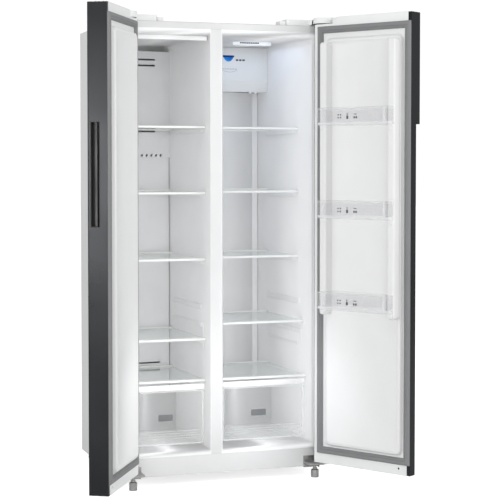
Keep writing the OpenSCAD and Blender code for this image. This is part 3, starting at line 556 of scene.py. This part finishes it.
def door_liner(name, place, width, body, start, plateau, dykes):
    """The inner face of a door: a flat margin, a raised field from start, and any dykes for bins."""
    bm = bmesh.new()
    s_out = (1.5, width - 14.5)
    z_out = (DOOR_Z[0] + CAP_BOTTOM, DOOR_Z[1] - CAP_TOP)
    s_in = (start, width - GASKET_W - 3)
    z_in = (OPEN_Z[0] + 3, OPEN_Z[1] - 3)
    # Flat margin under the seal, from the door's edge to the foot of the plateau
    margin = [[place(u, t, v) for u, v in rounded_path(rectangle(s, z), r)]
              for s, z, r, t in ((s_out, z_out, 3, 2.4), (s_out, z_out, 3, 0), (s_in, z_in, PLATEAU_R, 0))]
    loft(bm, margin)
    stack(bm, place, s_in, z_in, PLATEAU_R, [(a, a, h) for a, h in shoulder(0, plateau, 12, 6)])
    # A fine moulded line all round the plateau
    line_s, line_z = [(side[0] + LINE_IN, side[1] - LINE_IN) for side in (s_in, z_in)]
    stack(bm, place, line_s, line_z, 16, [(0, 0, plateau - 0.2), (1.2, 1.2, plateau + 1.1),
                                          (2.6, 2.6, plateau + 1.1), (3.8, 3.8, plateau + 0.1)])
    for s, z in dykes:
        profile = [(a, a * 3.4, h) for a, h in shoulder(plateau - 0.4, DYKE_T, 8, 6)]
        stack(bm, place, s, z, 9, profile)
        # Lugs that the bins hook over
        for bin_z in BIN_Z:
            stack(bm, place, (s[0] + 9, s[1] - 9), (bin_z - 18, bin_z - 4), 4,
                  [(0, 0, DYKE_T - 0.5), (0.5, 0.5, DYKE_T + 2.0), (1.6, 1.6, DYKE_T + 2.6)])
    tidy_normals(bm)
    finish_mesh(name, bm, [DOOR_LINER], body, [name.replace("_formed", "")], 50)


DYKE_Z = (638, 1678)
door_liner("left_door_liner_formed", on_left, LEFT_W, "left_door", 51.1, 18, [])
door_liner("right_door_liner_formed", on_right, RIGHT_W, "right_door", 53.3, 12,
           [(NEAR_DYKE, DYKE_Z), (FAR_DYKE, DYKE_Z)])


def door_seal(name, place, width, body):
    """A seal with a soft bellows side and a magnet bead, mitred round the door."""
    bm = bmesh.new()
    s = (GASKET_IN, width - 1)
    z = (DOOR_Z[0] + CAP_BOTTOM, DOOR_Z[1] - CAP_TOP)
    # (inset, height) over the bellows, down into the groove, then over the bead
    profile = [(0, 0.05), (0.1, 3.4), (0.8, 5.0), (2.2, 6.6), (4.2, 8.4), (6.6, 9.3), (13.6, 9.5),
               (15.0, 9.2), (15.6, 8.0), (16.4, 7.4), (17.2, 8.0), (17.8, 8.9), (19.0, 9.2), (21.6, 8.6),
               (22.8, 6.8), (23.4, 4.6), (24.4, 3.4), (26.4, 2.8), (27.0, 0.05)]
    rings = [[place(u, -height, v) for u, v in rounded_path(rectangle(s, z, inset), 2.0, 3)]
             for inset, height in profile]
    loft(bm, rings, closed=True)
    tidy_normals(bm)
    finish_mesh(name, bm, [GASKET_GREY], body, [name.replace("_ribbed", "")], 60)


door_seal("left_door_gasket_ribbed", on_left, LEFT_W, "left_door")
door_seal("right_door_gasket_ribbed", on_right, RIGHT_W, "right_door")

# ---- Door bins ----

TRAY = (NEAR_DYKE[1] + 1, FAR_DYKE[0] - 1)
WIDE = (NEAR_DYKE[0] + 2, FAR_DYKE[1] - 2)
CHEEK_R = 17
# The three marks on a bin: where the first is, the step to the next, and their scale
MARK_S = 246
MARK_STEP = 36
MARK_SIZE = 1.35


def bin_outline(inset):
    """Plan of a bin: narrow between the dykes, wide in front of them."""
    back, mid, out = 13 + inset, DYKE_T + 0.6 + inset, BIN_OUT - inset
    corners = [(TRAY[0] + inset, -back), (TRAY[1] - inset, -back), (TRAY[1] - inset, -mid),
               (WIDE[1] - inset, -mid), (WIDE[1] - inset, -out), (WIDE[0] + inset, -out),
               (WIDE[0] + inset, -mid), (TRAY[0] + inset, -mid)]
    front = max(CHEEK_R - inset, 3)
    return rounded_path(corners, [5, 5, 1.5, 3, front, front, 3, 1.5], 6)


def pictogram_shapes(kind):
    """Outlines of a plain egg tray, bottle or pair of jars, 16 mm tall or less, round their own middle."""
    def disc(x, z, r):
        return [(x + r * math.cos(n * math.pi / 8), z + r * math.sin(n * math.pi / 8)) for n in range(16)]

    if kind == "eggs":
        return [disc(x, z, 2.3) for x in (-4, 4) for z in (-4, 4)]
    if kind == "bottle":
        blocks = [((-3.2, 3.2), (-8, 1), 1.0), ((-1.3, 1.3), (2, 8), 0.5)]
    else:
        blocks = [((-6, -1), (-7, -1), 1.0), ((1, 6), (-7, -1), 1.0), ((-5, 5), (4, 6), 0.6)]
    return [rounded_path(rectangle(x, z), radius, 3) for x, z, radius in blocks]


def door_bin(name, z):
    """A clear bin with its floor at z, its frosted ribs and its marks."""
    bm = bmesh.new()
    top = z + BIN_H
    wall, floor_t = 2.5, 3.0
    skin = [(2.5, z), (0.7, z + 0.8), (0, z + 2.6), (0, top - 1.0), (0.4, top), (wall - 0.4, top),
            (wall, top - 1.0), (wall, z + floor_t + 2.5), (wall + 0.8, z + floor_t + 0.6),
            (wall + 3, z + floor_t)]
    rings = [[on_right(s, t, v) for s, t in bin_outline(inset)] for inset, v in skin]
    loft(bm, rings, True, True)
    tidy_normals(bm)
    finish_mesh(name + "_moulded", bm, [BIN_CLEAR], "right_door", [name], 50)
    # Frosted strips: the solid base, the rolled rim, and the stiffened cheeks
    bm = bmesh.new()
    for low, high, out in ((z + 3.2, z + 12, 2.9), (top - 6.4, top - 4.4, 2.9)):
        rows = [(out, low), (out - 0.2, high), (out + 1.2, high), (out + 1.4, low)]
        loft(bm, [[on_right(s, t, v) for s, t in bin_outline(inset)] for inset, v in rows], closed=True)
    for s in (WIDE[0] + 26, WIDE[1] - 34):
        raised_plate(bm, lambda u, out, v: on_right(u, -BIN_OUT + 2.6 + out, v),
                     (s, s + 8), (z + 12, top - 7), 0, 1.4, 2, 0.4)
    tidy_normals(bm)
    finish_mesh(name + "_ribs", bm, [FROSTED], "right_door", (), 50)
    # Three small marks for what the bin holds
    bm = bmesh.new()
    for n, kind in enumerate(("jars", "bottle", "eggs")):
        middle = MARK_S - n * MARK_STEP
        for outline in pictogram_shapes(kind):
            rings = [[on_right(middle - u * MARK_SIZE, -BIN_OUT + 0.05 - out, z + BIN_H / 2 + v * MARK_SIZE)
                      for u, v in outline]
                     for out in (0, 0.15)]
            loft(bm, rings, True, True)
    tidy_normals(bm)
    finish_mesh(name + "_marks", bm, [PRINT_GREY], "right_door", (), 30)


for name, z in zip(("door_bin_lower", "door_bin_middle", "door_bin_upper"), BIN_Z):
    door_bin(name, z)

# ---- Drawers ----

DRAWER_Z = (146, 377)
BAND_H = 23
LABEL_Z = (240, 264)
RIB_STEP = 9


def drawer_details(name, x, front, label_x, body):
    """Front frame, label and ribs on a clear drawer."""
    gap = 12
    face_x = (x[0] + lean(front) + gap, x[1] - lean(front) - gap)
    bm = bmesh.new()

    def on_front(u, out, v):
        return at(u, front - out, v)

    low, high = DRAWER_Z[0] + 3, DRAWER_Z[1] - BAND_H - 1
    frame_w = 4
    outer = rounded_path(rectangle(face_x, (low, high), 2, 0), 7)
    inner = rounded_path(rectangle(face_x, (low, high), 2 + frame_w, frame_w), 4)
    rows = [(outer, -0.2), (outer, 0.9), (inner, 0.9), (inner, -0.2)]
    loft(bm, [[on_front(u, out, v) for u, v in ring] for ring, out in rows], closed=True)
    raised_plate(bm, lambda u, out, v: on_front(u, 2 + out, v), (face_x[0] - 3, face_x[1] + 3),
                 (DRAWER_Z[1] - BAND_H + 1, DRAWER_Z[1] - 1), -0.1, 1.6, 5, 1.2, material=1)
    for n in range(4):
        z = DRAWER_Z[0] + 24 + n * RIB_STEP
        raised_plate(bm, lambda u, out, v: at(u, front + 4 + out, v),
                     (face_x[0] + 12, face_x[1] - 12), (z, z + 2), 0, 1.2, 0.9, 0.4)
    tidy_normals(bm)
    finish_mesh(name + "_front_ribs", bm, [FROSTED, PALE_BAND], body, (), 40)
    bm = bmesh.new()
    raised_plate(bm, on_front, label_x, LABEL_Z, -0.1, 0.9, 2.2, 0.4)
    tidy_normals(bm)
    finish_mesh(name + "_label", bm, [LABEL_GREY], body, (), 40)


drawer_details("freezer_drawer", FREEZER_X, 38, (-247, -190), "freezer_drawer")
drawer_details("fridge_drawer", FRIDGE_X, 47, (127, 187), "fridge_drawer")

# ---- Fridge top: lamp and badge ----

DUCT_BOX_Y = DEPTH - 110
WINDOW_STEP = 9


def lamp():
    """A long lens with pointed ends under the roof, and a row of light windows along it."""
    bm = bmesh.new()
    x, y = (FRIDGE_MID - 72, FRIDGE_MID + 92), (190, 235)
    roof = OPEN_Z[1]
    outline = rounded_path([(x[0], sum(y) / 2), (x[0] + 20, y[0]), (x[1] - 20, y[0]), (x[1], sum(y) / 2),
                            (x[1] - 20, y[1]), (x[0] + 20, y[1])], 6)
    middle = Vector((sum(x) / 2, sum(y) / 2))
    rings = []
    for share, drop in ((1.0, 0.2), (1.0, 8.0), (0.985, 10.4), (0.95, 11.8), (0.80, 12.0)):
        rings.append([at(middle.x + (u - middle.x) * share, middle.y + (v - middle.y) * share, roof - drop)
                      for u, v in outline])
    loft(bm, rings, True, True)
    tidy_normals(bm)
    finish_mesh("fridge_lamp_lens", bm, [LAMP_LENS], "cabinet", ["fridge_lamp"], 50)
    bm = bmesh.new()
    for n in range(9):
        left = x[0] + 24 + n * WINDOW_STEP
        raised_plate(bm, lambda u, out, v: at(u, y[0] + 0.4 - out, v), (left, left + 7.6),
                     (roof - 7.5, roof - 2.0), 0, 0.6, 0.7, 0.15)
    tidy_normals(bm)
    finish_mesh("fridge_lamp_strip", bm, [LAMP_STRIP], "cabinet", (), 40)


lamp()


def badge():
    """A plain blue bowl shape on the duct box, with bars and an arc where its lettering would be."""
    middle, top, half, deep = 167, 1660, 24, 25

    def on_box(u, out, v):
        return at(u, DUCT_BOX_Y - out, v)

    def bowl(reach, high, low):
        points = [(middle - half * reach, high), (middle + half * reach, high)]
        return points + [(middle + half * 0.86 * reach * math.cos(n * math.pi / 12),
                          high - 4 - (high - 4 - low) * math.sin(n * math.pi / 12)) for n in range(13)]

    bm = bmesh.new()
    band = rounded_path(rectangle((middle - half, middle + half), (top - 8, top)), 1.5, 3)
    for slot, (outline, reach) in enumerate(((bowl(1, top, top - deep), 0.9),
                                             (bowl(0.86, top - 3, top - deep + 7), 1.3), (band, 1.7))):
        loft(bm, [[on_box(u, out, v) for u, v in outline] for out in (-0.2, reach)], True, True,
             material=slot)
    for left in (199, 213, 227):
        raised_plate(bm, on_box, (left, left + 11), (1638, 1645), -0.1, 0.5, 2, 0.2, 3)
    # A fine arc in raised line, and a row of short dashes over it
    rows = []
    for n in range(13):
        u = middle + 5 + (n - 6) * 5.6
        v = 1592 + 8 * ((n - 6) / 6) ** 2
        rows.append([on_box(u, -0.1, v - 0.7), on_box(u, 0.4, v - 0.7),
                     on_box(u, 0.4, v + 0.7), on_box(u, -0.1, v + 0.7)])
    loft(bm, rows, True, True, material=4)
    for n in range(6):
        left = 140 + n * 11
        raised_plate(bm, on_box, (left, left + 8), (1603, 1606), -0.1, 0.4, 1, 0.15, 4)
    tidy_normals(bm)
    finish_mesh("duct_box_badge", bm, [BADGE_AZURE, BADGE_BLUE, BADGE_DARK, PRINT_GREY, PRINT_PALE],
                "cabinet", (), 40)


badge()


def duct_clips():
    """Two small clips under the duct box."""
    bm = bmesh.new()
    for u in (FRIDGE_MID + 80, FRIDGE_MID + 104):
        raised_plate(bm, lambda x, out, v: at(x, DUCT_BOX_Y + 2 + out, v),
                     (u, u + 9), (OPEN_Z[1] - 190, OPEN_Z[1] - 181), 0, 10, 2, 0.8)
    tidy_normals(bm)
    finish_mesh("duct_box_clips", bm, [WHITE_MOULDED], "cabinet", (), 40)


duct_clips()

# ---- CAD nodes that show as packed ----

for node in ("outer_shell", "top_rail", "plinth_rail"):
    dress(node, WHITE_SHEET, 0.5)
for node in ("hinge_cover_left", "hinge_cover_right"):
    dress(node, WHITE_MOULDED, 2.2, 3)
for node in ("left_door_caps", "right_door_caps"):
    dress(node, WHITE_MOULDED, 0.7)
for node in ("freezer_shelf_trims", "fridge_shelf_trims"):
    dress(node, TRIM_WHITE, 1.2, 3)
dress("fridge_duct_box", WHITE_MOULDED, 2.5, 4)
for node in ("freezer_duct_upper", "freezer_duct_lower"):
    dress(node, DUCT_GREY, 1.2, 3)
dress("drip_tray", DUCT_GREY, 0.8)
for cavity in ("freezer", "fridge"):
    for n in range(1, 5):
        dress(f"{cavity}_shelf_{n}", GLASS, 0.6)
    dress(f"{cavity}_drawer_cover", GLASS, 0.6)
    dress(f"{cavity}_drawer", CLEAR, 0.9)
for node in ("back_panel", "base_pan", "top_hinge_left", "top_hinge_right", "bottom_hinge_left",
             "bottom_hinge_right", "hinge_screws", "foot_left", "foot_right"):
    dress(node, ZINC, 0.5)
for node in ("left_door_skin", "right_door_skin"):
    dress(node, DARK_DOOR, 0.3)
for node in ("left_door_handle", "rear_grille", "evaporator_fan"):
    dress(node, BLACK_PLASTIC, 0.6)
for node in ("cabinet_foam", "left_door_core", "right_door_core"):
    dress(node, FOAM, 0)
for node in ("compressor", "condenser"):
    dress(node, BLACK_METAL, 0.6)
dress("evaporator", ALUMINIUM, 0)
dress("control_board", BOARD, 0.3)
for node in ("rear_roller_left", "rear_roller_right"):
    dress(node, ROLLER, 0.8)

# ---- Floor, light and camera ----


def floor():
    """A broad pale floor that shows white to the camera and reflects a softer light."""
    bm = bmesh.new()
    bmesh.ops.create_grid(bm, x_segments=8, y_segments=8, size=22)
    mesh = bpy.data.meshes.new("floor")
    bm.to_mesh(mesh)
    bm.free()
    plane = bpy.data.objects.new("floor", mesh)
    plane.location = (0, 12, -0.0005)
    bpy.context.scene.collection.objects.link(plane)
    finish = solid_finish("pale_floor", (0.93, 0.93, 0.93), 0.8, 0.004, patch=2, grain=60, bump=0.02)
    shader = finish.node_tree.nodes["Principled BSDF"]
    shader.inputs["Emission Color"].default_value = (1, 1, 1, 1)
    shader.inputs["Emission Strength"].default_value = 0.75
    nodes, links = finish.node_tree.nodes, finish.node_tree.links
    path = nodes.new("ShaderNodeLightPath")
    dim = nodes.new("ShaderNodeBsdfDiffuse")
    dim.inputs["Color"].default_value = (0.72, 0.72, 0.72, 1)
    mix = nodes.new("ShaderNodeMixShader")
    links.new(path.outputs["Is Camera Ray"], mix.inputs["Fac"])
    links.new(dim.outputs["BSDF"], mix.inputs[1])
    links.new(shader.outputs["BSDF"], mix.inputs[2])
    links.new(mix.outputs["Shader"], nodes["Material Output"].inputs["Surface"])
    mesh.materials.append(finish)


def area_light(name, location, aim, size, power, colour=(1, 1, 1), glossy=True):
    light = bpy.data.lights.new(name, "AREA")
    light.shape = "RECTANGLE"
    light.size, light.size_y = size
    light.energy = power
    light.color = colour
    lamp_object = bpy.data.objects.new(name, light)
    lamp_object.location = location
    lamp_object.visible_camera = False
    lamp_object.visible_glossy = glossy
    lamp_object.rotation_euler = (Vector(aim) - Vector(location)).to_track_quat("-Z", "Y").to_euler()
    bpy.context.scene.collection.objects.link(lamp_object)


def studio():
    """A white backdrop, a broad frontal light that reaches into the cavities, and side lights."""
    world = bpy.data.worlds.new("studio")
    world.use_nodes = True
    nodes, links = world.node_tree.nodes, world.node_tree.links
    dome = nodes["Background"]
    dome.inputs["Color"].default_value = (0.98, 0.99, 1, 1)
    dome.inputs["Strength"].default_value = 0.55
    backdrop = nodes.new("ShaderNodeBackground")
    backdrop.inputs["Color"].default_value = (1, 1, 1, 1)
    backdrop.inputs["Strength"].default_value = 1.05
    path = nodes.new("ShaderNodeLightPath")
    mix = nodes.new("ShaderNodeMixShader")
    links.new(path.outputs["Is Camera Ray"], mix.inputs["Fac"])
    links.new(dome.outputs["Background"], mix.inputs[1])
    links.new(backdrop.outputs["Background"], mix.inputs[2])
    links.new(mix.outputs["Shader"], nodes["World Output"].inputs["Surface"])
    bpy.context.scene.world = world
    bpy.context.scene.view_settings.view_transform = "Standard"
    middle = (MID_X, FRONT_Y + 0.3, 0.85)
    area_light("front", (-0.9, -6.4, 1.5), middle, (3.4, 3.0), 54)
    area_light("left_panel", (-3.6, -3.1, 1.15), (-0.5, -0.4, 1.1), (0.9, 0.9), 30)
    area_light("top", (-0.6, -2.2, 4.2), (MID_X, FRONT_Y, 1.4), (2.6, 2.6), 24)
    area_light("right", (3.4, -3.2, 2.0), middle, (2.0, 2.4), 66)
    area_light("low_front", (-0.2, -4.6, 0.7), (MID_X, FRONT_Y + 0.3, 0.2), (2.6, 1.0), 3, glossy=False)
    area_light("left_soft", (-5.0, -1.2, 1.9), (MID_X, FRONT_Y + 0.2, 0.8), (2.4, 2.4), 62, glossy=False)
    area_light("fridge_glow", at(FRIDGE_MID, 230, OPEN_Z[1] - 16), at(FRIDGE_MID, 240, 900),
               (0.32, 0.34), 0.3, (0.60, 0.74, 1.0), False)
    # Weak fills stand before each opening: a tall one for the walls and a small one for the drawer
    tall, half_up = (OPEN_Z[1] - OPEN_Z[0]) * MM, sum(OPEN_Z) / 2
    for name, x, colour in (("freezer_fill", FREEZER_X, (1, 1, 1)),
                            ("fridge_fill", FRIDGE_X, (0.94, 0.97, 1.0))):
        area_light(name, at(x[0] + 80, -130, half_up), at(x[1] - 60, 400, half_up),
                   (0.16, tall), 0.55, colour, False)
        area_light(name + "_low", at(sum(x) / 2, -320, 420), at(sum(x) / 2, 300, 230),
                   (0.2, 0.2), 0.26, colour, False)


# Where the eye stands in cabinet space, and how far it looks down and to the right, in degrees
EYE = (-1703.5, -5276.1, 1209.4)
EYE_DOWN = 2.148
EYE_RIGHT = 18.976


def camera():
    data = bpy.data.cameras.new("camera")
    data.lens = 105.23
    data.sensor_width = 36
    data.shift_x = -0.0022
    data.shift_y = -0.06
    data.clip_end = 60
    eye = bpy.data.objects.new("camera", data)
    eye.location = at(*EYE)
    eye.rotation_euler = (math.radians(90 - EYE_DOWN), 0, math.radians(-EYE_RIGHT))
    bpy.context.scene.collection.objects.link(eye)
    bpy.context.scene.camera = eye


floor()
studio()
camera()

# Clear pieces let the light through, so they cast no shadow
for piece in bpy.context.scene.objects:
    if piece.type == "MESH" and piece.data.materials and piece.data.materials[0] in SHADOWLESS:
        piece.visible_shadow = False
        piece.visible_diffuse = False
